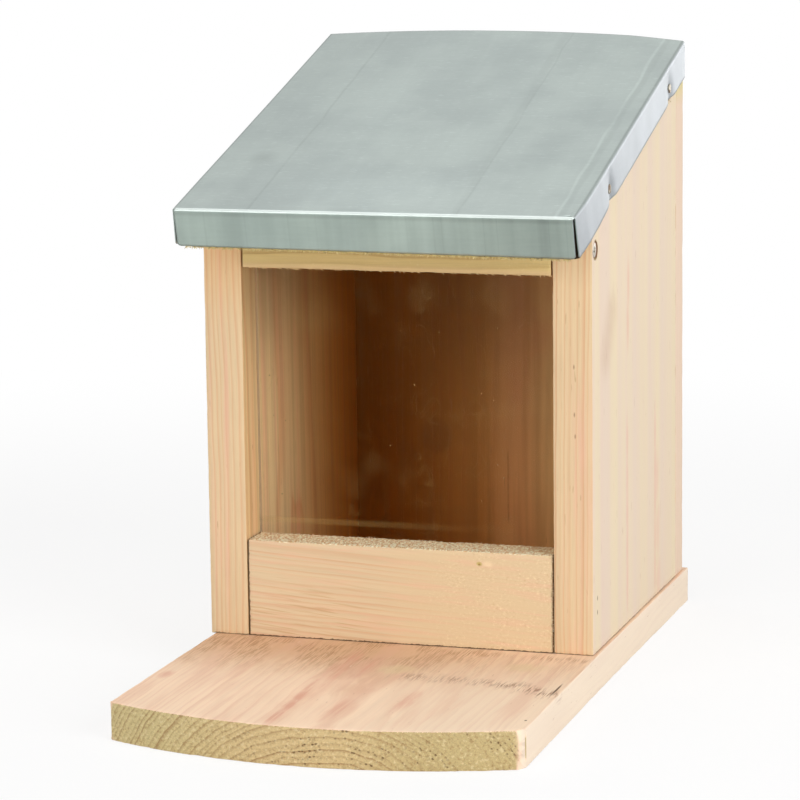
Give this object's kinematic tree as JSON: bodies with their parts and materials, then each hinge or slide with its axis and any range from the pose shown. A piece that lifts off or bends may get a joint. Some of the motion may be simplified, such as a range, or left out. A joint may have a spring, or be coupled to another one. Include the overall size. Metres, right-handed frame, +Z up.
{
  "type": "squirrel feeder box",
  "caption": "Pine nut box on a long base board with an arched front edge, a clear pane behind its front opening, and a hinged sloping lid covered by a folded metal sheet.",
  "frame": {"origin": "centre of the footprint, on the ground under the base board", "axes": "+X to the right seen from the front, +Y from the front edge of the base to the hinges at the back, +Z up"},
  "size_m": [0.1526, 0.278, 0.2316],
  "materials": {
    "pine": "bare planed and sawn pine, matt, with pink and cream streaks along the grain",
    "clear_pane": "clear acrylic, glossy, with fine scratches and dust",
    "roof_sheet": "zinc coated sheet, satin, pale grey-green with faint mottling",
    "plated_steel": "zinc plated steel, satin"
  },
  "bodies": {
    "box": {"base_board": "pine", "left_side": "pine", "right_side": "pine", "back_board": "pine", "front_board": "pine", "top_rail": "pine", "window_pane": "clear_pane", "hanger_plate": "plated_steel", "hanger_screw_top": "plated_steel", "hanger_screw_bottom": "plated_steel", "hinge_left_box_leaf": "plated_steel", "hinge_left_pin": "plated_steel", "hinge_right_box_leaf": "plated_steel", "hinge_right_pin": "plated_steel", "hinge_screw_left_box_left": "plated_steel", "hinge_screw_left_box_right": "plated_steel", "hinge_screw_right_box_left": "plated_steel", "hinge_screw_right_box_right": "plated_steel", "rail_screw_left": "plated_steel", "rail_screw_right": "plated_steel", "base_screw_left_front": "plated_steel", "base_screw_left_rear": "plated_steel", "base_screw_right_front": "plated_steel", "base_screw_right_rear": "plated_steel", "front_board_screw_left": "plated_steel", "front_board_screw_right": "plated_steel", "back_board_screw_left": "plated_steel", "back_board_screw_right": "plated_steel", "side_screw_left_low": "plated_steel", "side_screw_left_high": "plated_steel", "side_screw_right_low": "plated_steel", "side_screw_right_high": "plated_steel"},
    "lid": {"roof_board": "pine", "roof_sheet": "roof_sheet", "hinge_left_lid_leaf": "plated_steel", "hinge_right_lid_leaf": "plated_steel", "hinge_screw_left_lid_left": "plated_steel", "hinge_screw_left_lid_right": "plated_steel", "hinge_screw_right_lid_left": "plated_steel", "hinge_screw_right_lid_right": "plated_steel", "roof_nail_left_front": "plated_steel", "roof_nail_left_rear": "plated_steel", "roof_nail_right_front": "plated_steel", "roof_nail_right_rear": "plated_steel"}
  },
  "joints": [
    {"name": "lid_hinge", "type": "hinge", "parent": "box", "child": "lid", "pos_m": [-0.00125, 0.1365, 0.21633], "axis": [-1, 0, 0], "range_deg": [0, 170]}
  ]
}
